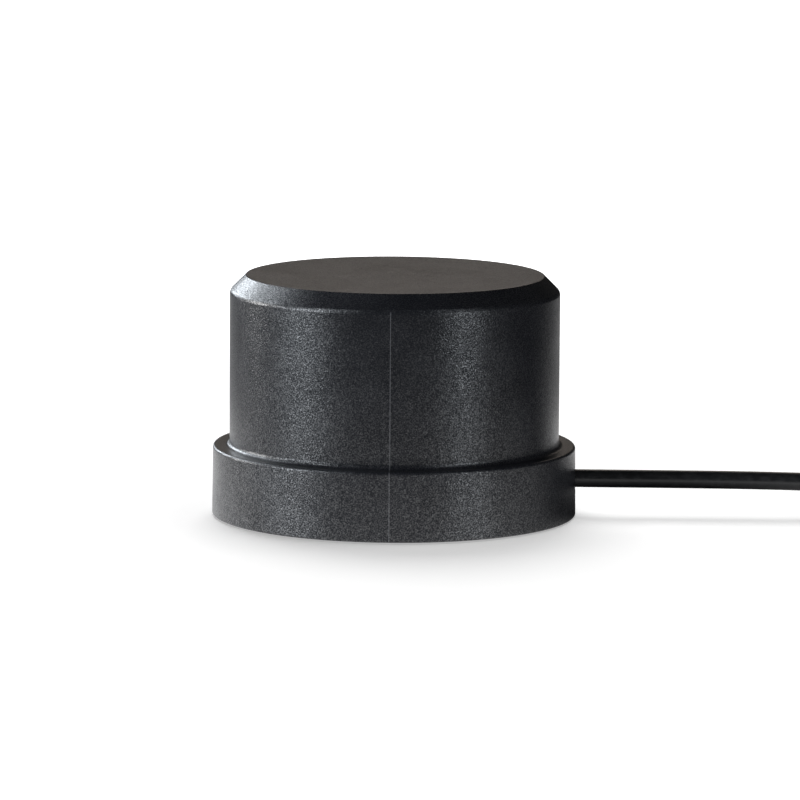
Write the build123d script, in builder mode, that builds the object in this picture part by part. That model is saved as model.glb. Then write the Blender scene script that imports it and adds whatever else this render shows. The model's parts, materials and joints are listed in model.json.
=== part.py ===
"""A GNSS receiver: a round puck on a magnetic base, with a fixed lead that ends in a small screw plug.

Millimetres. +Z is up along the puck's axis, and the origin is the middle of its underside, on the
surface that it stands on. +X points to where the lead leaves the puck, and -Y is the front.
"""

import os
from math import cos, pi, radians, sin, tan

from build123d import *

os.makedirs("parts", exist_ok=True)

# ---------------------------------------------------------------- driving dimensions

flange_radius = 33.0  # at the foot of the flange, which is drawn in a little towards its top
flange_top_radius = 32.85
flange_top = 12.85  # height of the flange's upper face
body_radius = 29.85
top_radius = 26.95  # flat round top, inside the chamfer
height = 43.8
chamfer_foot = 40.9  # where the chamfer meets the straight body

cable_radius = 1.65
cable_height = 6.9  # centre of the lead where it leaves the flange
plug_at = Vector(107.4, -17.0, 5.25)  # middle of the plug's rear face, its axis along +X
coil_at = Vector(103.8, 26.2)  # middle of the coil that holds the lead's spare length

# ---------------------------------------------------------------- housing and base

rim_bottom = 0.3  # the skirt stops short of the table, so the rubber foot carries the puck
shoulder = 3.4  # the skirt's inner step, which seals on the base plate
skirt_bore = 30.6
body_bore = 27.5
ceiling = 41.3
ceiling_radius = 26.0
ceiling_bevel_foot = 39.8
seam_width = 0.2  # the moulding's parting line stands out as a fine ridge
seam_proud = 0.07
seam_top = chamfer_foot - 0.8

foot_thickness = 0.8
foot_radius = 27.6
foot_thread_hole = 5.6
foot_screw_hole = 2.9
plate_radius = 30.5
hub_radius = 19.8
hub_top = 5.2
boss_radius = 6.8
boss_top = 10.0
magnet_floor = 2.2
magnet_inner = 8.2
magnet_outer = 17.0
magnet_play = 0.1
keeper_thickness = 0.8
keeper_inner = boss_radius + 0.2
keeper_outer = hub_radius - 0.6
seal_radius = 29.05
seal_section = 0.55  # radius of the ring's round section
seal_groove = 1.4  # width
insert_radius = 4.2
insert_bore = 2.55  # wall of a 1/4 inch 20 thread, taken at its minor diameter
insert_length = 8.0
insert_groove = 1.0  # width of the two grooves that the plastic of the boss flows into
insert_groove_depth = 0.4
insert_groove_heights = (3.0, 6.0)

base_screw_ring = 24.5
base_screw_start = 45
base_boss_radius = 3.1
base_boss_top = 14.0
screw_radius = 1.25
screw_clearance = 1.4  # radius of a hole that a screw passes through
pilot_radius = screw_radius + 0.05  # and of a hole that it bites into
base_pilot_depth = 8.5
countersink_radius = 2.5
base_screw_length = 10.0
base_screw_head = (2.4, 1.15)  # radius, height
recess_length = 2.4  # the cross in a screw's head
recess_width = 0.5
recess_depth = 0.7

# ---------------------------------------------------------------- boards and antenna

post_ring = 22.3
post_radius = 2.6
post_pilot_depth = 6.5
standoff_flats = 2.5  # from its axis to each flat
standoff_stud = 7.0  # length of its threaded end, which goes up into the post
standoff_tapping = 6.0  # depth of its threaded hole
board_screw_length = 6.0
board_screw_head = (2.3, 1.6)  # radius, height
board_thickness = 1.6
main_board_radius = 25.5
main_board_bottom = 17.0
main_board_top = main_board_bottom + board_thickness
antenna_board_radius = 26.8
antenna_board_bottom = 30.5
antenna_board_top = antenna_board_bottom + board_thickness
patch_thickness = 4.0
electrode_thickness = 0.1
lower_patch_side = 35.0
upper_patch_side = 25.0
electrode_margin = 2.5  # bare ceramic round each electrode
lower_patch_top = antenna_board_top + patch_thickness
upper_patch_bottom = lower_patch_top + electrode_thickness
upper_patch_top = upper_patch_bottom + patch_thickness
foam_bottom = upper_patch_top + electrode_thickness
lower_feeds = [(9.0, 0.0), (0.0, 9.0)]
upper_feeds = [(3.5, 0.0), (0.0, 3.5)]
feed_radius = 0.4
feed_tail = 0.6  # how far a feed pin stands out under the antenna board
feed_moat = 3 * feed_radius  # the upper patch's feeds pass through the lower electrode without touching
foam_radius = 11.0
can_wall = 0.3  # sheet of the shield cans
amplifier_can_side = 24.0
amplifier_can_height = 3.0

# ---------------------------------------------------------------- cable inside the housing

grommet_radius = 2.45
grommet_head_radius = 3.4
grommet_head = (25.4, 27.2)  # along X
grommet_end = 32.3
stop_start = 22.2  # along X
stop_length = 3.0
stop_flats = 2.7
sheath_end = 21.0  # where the sheath is stripped back and the wires begin
header_x = 10.2
header_bottom = 12.6
header_size = (5.2, 10.7)
header_pocket = (4.2, 9.7)
header_pocket_depth = 3.4
wire_housing_bottom = 9.8
wire_housing_size = (4.0, 9.5)
wire_housing_height = 6.0
contact_side = 0.7
contact_depth = 3.2
wire_radius = 0.4
wire_pitch = 1.5
wire_count = 6
wire_pair_pitch = 0.85  # inside the sheath the wires lie in three pairs
wire_pair_half = 0.45

# ---------------------------------------------------------------- free lead, coil and plug

lead_route = [
    (sheath_end, 0.0, cable_height),
    (44.0, 0.0, cable_height),
    (66.0, 0.0, 6.86),
    (82.0, 0.0, 6.5),
    (94.0, 0.0, 4.5),
    (106.0, 0.4, 2.1),
    (116.5, 4.6, cable_radius),
    (123.4, 13.8, cable_radius),
]
tail_route = [
    (83.2, 21.0, 10.75),
    (82.9, 10.2, 10.95),
    (83.0, -1.6, 10.6),
    (88.4, -11.3, 8.0),
    (97.8, plug_at.Y, plug_at.Z),
    (plug_at.X, plug_at.Y, plug_at.Z),
]
coil_mean_radius = 18.2
turn_pitch = 3.4  # between turns side by side, three to a layer
layer_pitch = 2.95  # the four layers nest, each half a pitch to the side of the one below
coil_half_width = 1.25 * turn_pitch + cable_radius
coil_height = 3 * layer_pitch + 2 * cable_radius
coil_corner = 1.6
tie_thickness = 0.9
tie_angle = 24.0
tie_start = -2.0

nut_radius = 5.2
nut_bore = 3.25
nut_rear = 25.3  # distances along the plug from its rear face
nut_shoulder = 31.3
nut_front = 35.2
thread_radius = 4.0
thread_pitch = 1.0
thread_depth = 0.55
carrier_radius = 3.2
carrier_rear = 18.0
carrier_front = 30.6
snap_ring = (27.2, 27.8)
snap_ring_radius = 3.5
knurl_count = 28


# ---------------------------------------------------------------- helpers

standing = (Align.CENTER, Align.CENTER, Align.MIN)  # on its lower face

def bend_radii(route, share=0.45):
    """The largest tangent arc at each corner that uses no more than this share of its shorter run."""
    points = [Vector(*point) for point in route]
    radii = []
    for before, corner, after in zip(points, points[1:], points[2:]):
        turn = (corner - before).get_angle(after - corner)
        shorter_run = min((corner - before).length, (after - corner).length)
        radii.append(share * shorter_run / tan(radians(turn / 2)))
    return radii


def end_plane(path):
    """The plane across the start of a path, for its section."""
    return Plane(origin=path @ 0, z_dir=path % 0)


def report_cable(name, path, part):
    """Print a tube's length, and its volume over its section times that length."""
    expected = pi * cable_radius**2 * path.length
    print(f"{name}: length {path.length:.1f} mm, volume / (section x length) {part.volume / expected:.4f}")


def radial_plane(angle, centre=(0.0, 0.0)):
    """An upright plane through a vertical axis: its local x points outwards at this angle, y is up."""
    outwards = (cos(radians(angle)), sin(radians(angle)), 0)
    sideways = (sin(radians(angle)), -cos(radians(angle)), 0)
    return Plane(origin=(*centre, 0), x_dir=outwards, z_dir=sideways)


def puck_outline(grow=0.0):
    """Half of the housing's outer section, from its axis outwards, grown by a little if asked."""
    corners = {
        (flange_radius + grow, rim_bottom): 0.3,
        (flange_top_radius + grow, flange_top + grow): 0.5,
        (body_radius + grow, flange_top + grow): 0.85,
        (body_radius + grow, chamfer_foot): 1.2,
        (top_radius, height): 0.35,
    }
    with BuildSketch(Plane.XY) as outline:
        with BuildLine():
            Polyline((0, rim_bottom), *corners, (0, height), close=True)
        make_face()
        for corner, radius in corners.items():
            fillet(outline.vertices().sort_by_distance(corner)[0], radius)
    return outline.sketch


def bevelled_block(width, depth, low, high, edge, centre=(0.0, 0.0)):
    """A rectangular block between two heights, with its upright and upper edges taken off a little."""
    with BuildPart() as block:
        with BuildSketch(Plane((*centre, low))):
            RectangleRounded(width, depth, edge)
        extrude(amount=high - low)
        chamfer(block.faces().sort_by(Axis.Z)[-1].edges(), edge / 2)
    return block.part


def cross_recess():
    """Cut the cross of a screw's head, upwards from where it stands, inside the part being built."""
    Box(recess_length, recess_width, recess_depth, align=standing, mode=Mode.SUBTRACT)
    Box(recess_width, recess_length, recess_depth, align=standing, mode=Mode.SUBTRACT)


def plug_section(points):
    """A closed half section of a turned plug piece: (distance along the plug, radius) pairs."""
    with BuildSketch(Plane(origin=plug_at, x_dir=(1, 0, 0), z_dir=(0, -1, 0))) as section:
        with BuildLine():
            Polyline(*points, close=True)
        make_face()
    return section.sketch


plug_axis = Axis(plug_at, (1, 0, 0))


def across_plug(distance):
    """The plane across the plug's axis at this distance from its rear face."""
    return Plane(origin=plug_at + Vector(distance, 0, 0), x_dir=(0, 1, 0), z_dir=(1, 0, 0))


# ---------------------------------------------------------------- housing shell

with BuildPart() as housing_shell:
    with BuildSketch(Plane.XZ):
        add(puck_outline())
    revolve(axis=Axis.Z)

    # The fine ridge that the mould's parting line leaves, down the front and the back.
    for angle in (-90, 90):
        with BuildSketch(radial_plane(angle)):
            add(puck_outline(seam_proud))
            with Locations(((body_bore + flange_radius) / 2 + 1, (rim_bottom + seam_top) / 2)):
                Rectangle(flange_radius - body_bore + 2, seam_top - rim_bottom, mode=Mode.INTERSECT)
        extrude(amount=seam_width / 2, both=True)

    with BuildSketch(Plane.XZ):
        with BuildLine():
            Polyline(
                (0, 0),
                (skirt_bore, 0),
                (skirt_bore, shoulder),
                (body_bore, shoulder),
                (body_bore, ceiling_bevel_foot),
                (ceiling_radius, ceiling),
                (0, ceiling),
                close=True,
            )
        make_face()
    revolve(axis=Axis.Z, mode=Mode.SUBTRACT)

    # Bosses for the base screws stand on the wall at the bottom, posts for the boards hang from the top.
    with BuildSketch(Plane.XY.offset(shoulder)):
        with PolarLocations(base_screw_ring, 4, start_angle=base_screw_start):
            Circle(base_boss_radius)
    extrude(amount=base_boss_top - shoulder)
    with BuildSketch(Plane.XY.offset(antenna_board_top)):
        with PolarLocations(post_ring, 4):
            Circle(post_radius)
    extrude(amount=ceiling - antenna_board_top)

    with BuildSketch(Plane.XY.offset(shoulder)):
        with PolarLocations(base_screw_ring, 4, start_angle=base_screw_start):
            Circle(pilot_radius)
    extrude(amount=base_pilot_depth, mode=Mode.SUBTRACT)
    with BuildSketch(Plane.XY.offset(antenna_board_top)):
        with PolarLocations(post_ring, 4):
            Circle(pilot_radius)
    extrude(amount=post_pilot_depth, mode=Mode.SUBTRACT)

    with BuildSketch(Plane.YZ.offset(body_bore - 1)):
        with Locations((0, cable_height)):
            Circle(grommet_radius)
    extrude(amount=flange_radius - body_bore + 2, mode=Mode.SUBTRACT)

housing_shell.part.label = "housing_shell"
export_step(housing_shell.part, "parts/housing_shell.step")

# ---------------------------------------------------------------- base plate, with its hub and threaded boss

with BuildPart() as base_plate:
    with BuildSketch(Plane.XY.offset(foot_thickness)):
        Circle(plate_radius)
    extrude(amount=shoulder - foot_thickness)
    with BuildSketch(Plane.XY.offset(shoulder)):
        Circle(hub_radius)
    extrude(amount=hub_top - shoulder)
    with BuildSketch(Plane.XY.offset(hub_top)):
        Circle(boss_radius)
    extrude(amount=boss_top - hub_top)

    with BuildSketch(Plane.XY.offset(magnet_floor)):
        Circle(magnet_outer)
        Circle(magnet_inner, mode=Mode.SUBTRACT)
    extrude(amount=hub_top - magnet_floor, mode=Mode.SUBTRACT)
    with BuildSketch(Plane.XY.offset(foot_thickness)):
        Circle(insert_radius)
    extrude(amount=insert_length, mode=Mode.SUBTRACT)
    with BuildSketch(Plane.XY.offset(shoulder - 2 * seal_section)):
        Circle(seal_radius + seal_groove / 2)
        Circle(seal_radius - seal_groove / 2, mode=Mode.SUBTRACT)
    extrude(amount=2 * seal_section, mode=Mode.SUBTRACT)

    # Countersunk holes, opening downwards.
    with Locations(Plane.XY.offset(foot_thickness).rotated((180, 0, 0))):
        with PolarLocations(base_screw_ring, 4, start_angle=base_screw_start):
            CounterSinkHole(screw_clearance, countersink_radius, depth=shoulder, counter_sink_angle=90)

base_plate.part.label = "base_plate"
export_step(base_plate.part, "parts/base_plate.step")

with BuildPart() as base_seal:
    with BuildSketch(Plane.XZ):
        with Locations((seal_radius, shoulder - seal_section)):
            Circle(seal_section)
    revolve(axis=Axis.Z)

base_seal.part.label = "base_seal"
export_step(base_seal.part, "parts/base_seal.step")

with BuildPart() as foot_pad:
    with BuildSketch(Plane.XY):
        Circle(foot_radius)
        Circle(foot_thread_hole, mode=Mode.SUBTRACT)
        with PolarLocations(base_screw_ring, 4, start_angle=base_screw_start):
            Circle(foot_screw_hole, mode=Mode.SUBTRACT)
    extrude(amount=foot_thickness)

foot_pad.part.label = "foot_pad"
export_step(foot_pad.part, "parts/foot_pad.step")

with BuildPart() as ring_magnet:
    with BuildSketch(Plane.XY.offset(magnet_floor)):
        Circle(magnet_outer - magnet_play)
        Circle(magnet_inner + magnet_play, mode=Mode.SUBTRACT)
    extrude(amount=hub_top - magnet_floor)

ring_magnet.part.label = "ring_magnet"
export_step(ring_magnet.part, "parts/ring_magnet.step")

with BuildPart() as keeper_plate:
    with BuildSketch(Plane.XY.offset(hub_top)):
        Circle(keeper_outer)
        Circle(keeper_inner, mode=Mode.SUBTRACT)
    extrude(amount=keeper_thickness)

keeper_plate.part.label = "keeper_plate"
export_step(keeper_plate.part, "parts/keeper_plate.step")

with BuildPart() as thread_insert:
    with BuildSketch(Plane.XY.offset(foot_thickness)):
        Circle(insert_radius)
        Circle(insert_bore, mode=Mode.SUBTRACT)
    extrude(amount=insert_length)
    for groove_height in insert_groove_heights:
        with BuildSketch(Plane.XY.offset(groove_height)):
            Circle(insert_radius)
            Circle(insert_radius - insert_groove_depth, mode=Mode.SUBTRACT)
        extrude(amount=insert_groove, mode=Mode.SUBTRACT)

thread_insert.part.label = "thread_insert"
export_step(thread_insert.part, "parts/thread_insert.step")

with BuildPart() as base_screws:
    with PolarLocations(base_screw_ring, 4, start_angle=base_screw_start):
        with Locations((0, 0, foot_thickness)):
            Cone(base_screw_head[0], screw_radius, base_screw_head[1], align=standing)
            Cylinder(screw_radius, base_screw_length, align=standing)
            cross_recess()

base_screws.part.label = "base_screws"
export_step(base_screws.part, "parts/base_screws.step")

# ---------------------------------------------------------------- main board and what stands on it

with BuildPart() as main_board:
    with BuildSketch(Plane.XY.offset(main_board_bottom)):
        Circle(main_board_radius)
        with PolarLocations(post_ring, 4):
            Circle(screw_clearance, mode=Mode.SUBTRACT)
    extrude(amount=board_thickness)

main_board.part.label = "main_board"
export_step(main_board.part, "parts/main_board.step")

module_at = (5.0, 0.0)
module_size = (17.0, 22.4)
module_substrate = 0.8
module_can_size = (15.4, 20.8)
module_can_height = 1.8
pad_pitch = 1.3
pads_per_side = 16
pad_radius = 0.3
with BuildPart() as gnss_module:
    with BuildSketch(Plane((*module_at, main_board_top))):
        Rectangle(*module_size)
        # Half holes along the long sides, where the module is soldered to the board.
        with GridLocations(module_size[0], pad_pitch, 2, pads_per_side):
            Circle(pad_radius, mode=Mode.SUBTRACT)
    extrude(amount=module_substrate)

gnss_module.part.label = "gnss_module"
export_step(gnss_module.part, "parts/gnss_module.step")

module_top = main_board_top + module_substrate
with BuildPart() as module_shield:
    add(bevelled_block(*module_can_size, module_top, module_top + module_can_height, 0.4, module_at))
    with BuildSketch(Plane((*module_at, module_top))):
        Rectangle(module_can_size[0] - 2 * can_wall, module_can_size[1] - 2 * can_wall)
    extrude(amount=module_can_height - can_wall, mode=Mode.SUBTRACT)

module_shield.part.label = "module_shield"
export_step(module_shield.part, "parts/module_shield.step")

chip_height = 1.0
chip_edge = 0.2
with BuildPart() as oscillator:
    add(bevelled_block(3.2, 2.5, main_board_top, main_board_top + chip_height, chip_edge, (-8.0, 8.0)))

oscillator.part.label = "oscillator"
export_step(oscillator.part, "parts/oscillator.step")

with BuildPart() as processor:
    add(bevelled_block(7.0, 7.0, main_board_top, main_board_top + chip_height, chip_edge, (-8.5, -10.5)))

processor.part.label = "processor"
export_step(processor.part, "parts/processor.step")

cell_at = (-10.0, 8.0)
cell_can = (3.4, 1.7)  # radius, height
cell_cap = (2.9, 0.4)
with BuildPart() as backup_cell:
    with BuildSketch(Plane((*cell_at, main_board_bottom))):
        Circle(cell_can[0])
    extrude(amount=-cell_can[1])
    with BuildSketch(Plane((*cell_at, main_board_bottom - cell_can[1]))):
        Circle(cell_cap[0])
    extrude(amount=-cell_cap[1])

backup_cell.part.label = "backup_cell"
export_step(backup_cell.part, "parts/backup_cell.step")

inductor_side = 6.0
inductor_height = 2.8
with BuildPart() as power_inductor:
    with BuildSketch(Plane((-9.0, -7.0, main_board_bottom))):
        RectangleRounded(inductor_side, inductor_side, 1.0)
    extrude(amount=-inductor_height)

power_inductor.part.label = "power_inductor"
export_step(power_inductor.part, "parts/power_inductor.step")

driver_at = (0.0, -14.0)
driver_size = (4.9, 3.9, 1.5)
driver_gap = 0.15  # between the package and the board
leg_pitch = 1.27
leg_rows_apart = 5.0
leg_size = (0.4, 1.2, 0.9)
with BuildPart() as line_driver:
    with BuildSketch(Plane((*driver_at, main_board_bottom - driver_gap))):
        Rectangle(driver_size[0], driver_size[1])
    extrude(amount=-driver_size[2])
    # Four legs on each side, from the middle of the package to the board.
    with BuildSketch(Plane((*driver_at, main_board_bottom))):
        with GridLocations(leg_pitch, leg_rows_apart, 4, 2):
            Rectangle(leg_size[0], leg_size[1])
    extrude(amount=-leg_size[2])

line_driver.part.label = "line_driver"
export_step(line_driver.part, "parts/line_driver.step")

large_capacitor = (3.5, 2.8, 1.9)
large_capacitor_pitch = 5.0
small_capacitor = (1.6, 0.8, 0.8)
small_capacitor_pitch = 1.6
with BuildPart() as capacitors:
    with BuildSketch(Plane((0.0, 14.0, main_board_bottom))):
        with GridLocations(large_capacitor_pitch, 0.0, 3, 1):
            Rectangle(large_capacitor[0], large_capacitor[1])
    extrude(amount=-large_capacitor[2])
    with BuildSketch(Plane((-12.0, 0.0, main_board_top))):
        with GridLocations(0.0, small_capacitor_pitch, 1, 3):
            Rectangle(small_capacitor[0], small_capacitor[1])
    extrude(amount=small_capacitor[2])

capacitors.part.label = "capacitors"
export_step(capacitors.part, "parts/capacitors.step")

with BuildPart() as cable_header:
    with BuildSketch(Plane((header_x, 0.0, header_bottom))):
        Rectangle(*header_size)
    extrude(amount=main_board_bottom - header_bottom)
    with BuildSketch(Plane((header_x, 0.0, header_bottom))):
        Rectangle(*header_pocket)
    extrude(amount=header_pocket_depth, mode=Mode.SUBTRACT)

cable_header.part.label = "cable_header"
export_step(cable_header.part, "parts/cable_header.step")

with BuildPart() as wire_housing:
    with BuildSketch(Plane((header_x, 0.0, wire_housing_bottom))):
        Rectangle(*wire_housing_size)
    extrude(amount=wire_housing_height)
    with BuildSketch(Plane((header_x, 0.0, header_bottom))):
        with GridLocations(0.0, wire_pitch, 1, wire_count):
            Rectangle(contact_side, contact_side)
    extrude(amount=contact_depth, mode=Mode.SUBTRACT)

wire_housing.part.label = "wire_housing"
export_step(wire_housing.part, "parts/wire_housing.step")

with BuildPart() as board_standoffs:
    with BuildSketch(Plane.XY.offset(main_board_top)):
        with PolarLocations(post_ring, 4):
            RegularPolygon(standoff_flats, 6, major_radius=False)
    extrude(amount=antenna_board_bottom - main_board_top)
    with BuildSketch(Plane.XY.offset(antenna_board_bottom)):
        with PolarLocations(post_ring, 4):
            Circle(screw_radius)
    extrude(amount=standoff_stud)
    with BuildSketch(Plane.XY.offset(main_board_top)):
        with PolarLocations(post_ring, 4):
            Circle(pilot_radius)
    extrude(amount=standoff_tapping, mode=Mode.SUBTRACT)

board_standoffs.part.label = "board_standoffs"
export_step(board_standoffs.part, "parts/board_standoffs.step")

with BuildPart() as board_screws:
    with PolarLocations(post_ring, 4):
        with Locations((0, 0, main_board_bottom - board_screw_head[1])):
            Cylinder(*board_screw_head, align=standing)
            cross_recess()
        with Locations((0, 0, main_board_bottom)):
            Cylinder(screw_radius, board_screw_length, align=standing)

board_screws.part.label = "board_screws"
export_step(board_screws.part, "parts/board_screws.step")

# ---------------------------------------------------------------- antenna

with BuildPart() as antenna_board:
    with BuildSketch(Plane.XY.offset(antenna_board_bottom)):
        Circle(antenna_board_radius)
        with PolarLocations(post_ring, 4):
            Circle(screw_clearance, mode=Mode.SUBTRACT)
        with Locations(*lower_feeds, *upper_feeds):
            Circle(feed_radius, mode=Mode.SUBTRACT)
    extrude(amount=board_thickness)

antenna_board.part.label = "antenna_board"
export_step(antenna_board.part, "parts/antenna_board.step")

with BuildPart() as amplifier_shield:
    with BuildSketch(Plane.XY.offset(antenna_board_bottom)):
        RectangleRounded(amplifier_can_side, amplifier_can_side, 0.8)
    extrude(amount=-amplifier_can_height)
    with BuildSketch(Plane.XY.offset(antenna_board_bottom)):
        Rectangle(amplifier_can_side - 2 * can_wall, amplifier_can_side - 2 * can_wall)
    extrude(amount=can_wall - amplifier_can_height, mode=Mode.SUBTRACT)

amplifier_shield.part.label = "amplifier_shield"
export_step(amplifier_shield.part, "parts/amplifier_shield.step")

with BuildPart() as lower_patch:
    with BuildSketch(Plane.XY.offset(antenna_board_top)):
        Rectangle(lower_patch_side, lower_patch_side)
        with Locations(*lower_feeds, *upper_feeds):
            Circle(feed_radius, mode=Mode.SUBTRACT)
    extrude(amount=patch_thickness)

lower_patch.part.label = "lower_patch"
export_step(lower_patch.part, "parts/lower_patch.step")

with BuildPart() as lower_electrode:
    with BuildSketch(Plane.XY.offset(lower_patch_top)):
        Rectangle(lower_patch_side - 2 * electrode_margin, lower_patch_side - 2 * electrode_margin)
        with Locations(*lower_feeds):
            Circle(feed_radius, mode=Mode.SUBTRACT)
        with Locations(*upper_feeds):
            Circle(feed_moat, mode=Mode.SUBTRACT)
    extrude(amount=electrode_thickness)

lower_electrode.part.label = "lower_electrode"
export_step(lower_electrode.part, "parts/lower_electrode.step")

with BuildPart() as upper_patch:
    with BuildSketch(Plane.XY.offset(upper_patch_bottom)):
        Rectangle(upper_patch_side, upper_patch_side)
        with Locations(*upper_feeds):
            Circle(feed_radius, mode=Mode.SUBTRACT)
    extrude(amount=patch_thickness)

upper_patch.part.label = "upper_patch"
export_step(upper_patch.part, "parts/upper_patch.step")

with BuildPart() as upper_electrode:
    with BuildSketch(Plane.XY.offset(upper_patch_top)):
        Rectangle(upper_patch_side - 2 * electrode_margin, upper_patch_side - 2 * electrode_margin)
        with Locations(*upper_feeds):
            Circle(feed_radius, mode=Mode.SUBTRACT)
    extrude(amount=electrode_thickness)

upper_electrode.part.label = "upper_electrode"
export_step(upper_electrode.part, "parts/upper_electrode.step")

with BuildPart() as feed_pins:
    for feeds, tip in ((lower_feeds, upper_patch_bottom), (upper_feeds, foam_bottom)):
        with BuildSketch(Plane.XY.offset(antenna_board_bottom - feed_tail)):
            with Locations(*feeds):
                Circle(feed_radius)
        extrude(amount=tip - antenna_board_bottom + feed_tail)

feed_pins.part.label = "feed_pins"
export_step(feed_pins.part, "parts/feed_pins.step")

with BuildPart() as foam_pad:
    with BuildSketch(Plane.XY.offset(foam_bottom)):
        Circle(foam_radius)
    extrude(amount=ceiling - foam_bottom)

foam_pad.part.label = "foam_pad"
export_step(foam_pad.part, "parts/foam_pad.step")

# ---------------------------------------------------------------- coax jumper between the two boards

jumper_x = -15.5
jumper_y = -2.0
jumper_levels = {-1: antenna_board_bottom, 1: main_board_top}  # +1 stands up on its board, -1 hangs
socket_side = 2.6
socket_base = 0.4
socket_pin = (0.5, 1.2)  # radius, height
coax_plug_radius = 1.4
coax_plug_height = 1.2
coax_plug_lift = 0.5  # above the board
coax_plug_neck = (1.5, 2.4)
coax_plug_neck_at = 2.2  # from the pin

with BuildPart() as coax_sockets:
    for way, level in jumper_levels.items():
        with BuildSketch(Plane((jumper_x, jumper_y, level))):
            Rectangle(socket_side, socket_side)
        extrude(amount=socket_base * way)
        with BuildSketch(Plane((jumper_x, jumper_y, level))):
            Circle(socket_pin[0])
        extrude(amount=socket_pin[1] * way)

coax_sockets.part.label = "coax_sockets"
export_step(coax_sockets.part, "parts/coax_sockets.step")

with BuildPart() as coax_plugs:
    for way, level in jumper_levels.items():
        with BuildSketch(Plane((jumper_x, jumper_y, level + coax_plug_lift * way))):
            Circle(coax_plug_radius)
            with Locations((0, -coax_plug_neck_at)):
                Rectangle(*coax_plug_neck)
            Circle(socket_pin[0] + 0.05, mode=Mode.SUBTRACT)
        extrude(amount=coax_plug_height * way)

coax_plugs.part.label = "coax_plugs"
export_step(coax_plugs.part, "parts/coax_plugs.step")

jumper_radius = 0.55
jumper_bend = 4.2
jumper_start = jumper_y - coax_plug_neck_at - coax_plug_neck[1] / 2
jumper_turn = -16.0
jumper_clear = coax_plug_lift + coax_plug_height / 2  # from a board to the jumper's middle
jumper_top = antenna_board_bottom - jumper_clear
jumper_bottom = main_board_top + jumper_clear
with BuildPart() as coax_jumper:
    with BuildLine() as jumper_path:
        FilletPolyline(
            (jumper_x, jumper_start, jumper_top),
            (jumper_x, jumper_turn, jumper_top),
            (jumper_x, jumper_turn, jumper_bottom),
            (jumper_x, jumper_start, jumper_bottom),
            radius=jumper_bend,
        )
    with BuildSketch(end_plane(jumper_path.line)):
        Circle(jumper_radius)
    sweep(path=jumper_path.line)

coax_jumper.part.label = "coax_jumper"
export_step(coax_jumper.part, "parts/coax_jumper.step")

# ---------------------------------------------------------------- cable entry: grommet, stop and wires

with BuildPart() as cable_grommet:
    with BuildSketch(Plane.YZ.offset(grommet_head[0])):
        with Locations((0, cable_height)):
            Circle(grommet_head_radius)
    extrude(amount=grommet_head[1] - grommet_head[0])
    with BuildSketch(Plane.YZ.offset(grommet_head[1])):
        with Locations((0, cable_height)):
            Circle(grommet_radius)
    extrude(amount=grommet_end - grommet_head[1])
    with BuildSketch(Plane.YZ.offset(grommet_head[0])):
        with Locations((0, cable_height)):
            Circle(cable_radius)
    extrude(amount=grommet_end - grommet_head[0], mode=Mode.SUBTRACT)

cable_grommet.part.label = "cable_grommet"
export_step(cable_grommet.part, "parts/cable_grommet.step")

with BuildPart() as cable_stop:
    with BuildSketch(Plane.YZ.offset(stop_start)):
        with Locations((0, cable_height)):
            RegularPolygon(stop_flats, 6, major_radius=False)
            Circle(cable_radius, mode=Mode.SUBTRACT)
    extrude(amount=stop_length)

cable_stop.part.label = "cable_stop"
export_step(cable_stop.part, "parts/cable_stop.step")

with BuildPart() as cable_wires:
    for index in range(wire_count):
        # The wires leave the sheath in three pairs and fan out to the pitch of the header.
        sheath_y = wire_pair_pitch * (index // 2 - 1)
        sheath_z = cable_height + (wire_pair_half if index % 2 == 0 else -wire_pair_half)
        contact_y = wire_pitch * (index - (wire_count - 1) / 2)
        route = [
            (sheath_end, sheath_y, sheath_z),
            (sheath_end - 2.5, sheath_y, sheath_z),
            (header_x + 3.3, contact_y, sheath_z),
            (header_x, contact_y, sheath_z),
            (header_x, contact_y, wire_housing_bottom),
        ]
        with BuildLine() as wire_path:
            FilletPolyline(*route, radius=bend_radii(route, share=0.4))
        with BuildSketch(end_plane(wire_path.line)):
            Circle(wire_radius)
        sweep(path=wire_path.line)

cable_wires.part.label = "cable_wires"
export_step(cable_wires.part, "parts/cable_wires.step")

# ---------------------------------------------------------------- the free lead

with BuildPart() as cord_lead:
    with BuildLine() as lead_path:
        FilletPolyline(*lead_route, radius=bend_radii(lead_route))
    with BuildSketch(end_plane(lead_path.line)):
        Circle(cable_radius)
    sweep(path=lead_path.line)

print("lead radii", [round(radius, 1) for radius in bend_radii(lead_route)])
report_cable("lead", lead_path.wire(), cord_lead.part)
cord_lead.part.label = "cord_lead"
export_step(cord_lead.part, "parts/cord_lead.step")

coil_centre = (coil_at.X, coil_at.Y)
coil_axis = Axis((*coil_centre, 0), (0, 0, 1))
pressed_bundle = (2 * (coil_half_width - tie_thickness), coil_height - 2 * tie_thickness)  # inside the tie
with BuildPart() as cord_coil:
    with BuildSketch(radial_plane(0, coil_centre)):
        with Locations((coil_mean_radius, coil_height / 2)):
            RectangleRounded(2 * coil_half_width, coil_height, coil_corner)
    revolve(axis=coil_axis)
    # The tie presses into the turns under it.
    with BuildSketch(radial_plane(tie_start, coil_centre)):
        with Locations((coil_mean_radius, coil_height / 2)):
            Rectangle(2 * coil_half_width + 1, coil_height + 1)
            Rectangle(*pressed_bundle, mode=Mode.SUBTRACT)
    revolve(axis=coil_axis, revolution_arc=tie_angle, mode=Mode.SUBTRACT)

cord_coil.part.label = "cord_coil"
export_step(cord_coil.part, "parts/cord_coil.step")

with BuildPart() as coil_tie:
    with BuildSketch(radial_plane(tie_start, coil_centre)):
        with Locations((coil_mean_radius, coil_height / 2)):
            RectangleRounded(2 * coil_half_width, coil_height, 0.7)
            Rectangle(*pressed_bundle, mode=Mode.SUBTRACT)
    revolve(axis=coil_axis, revolution_arc=tie_angle)

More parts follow.
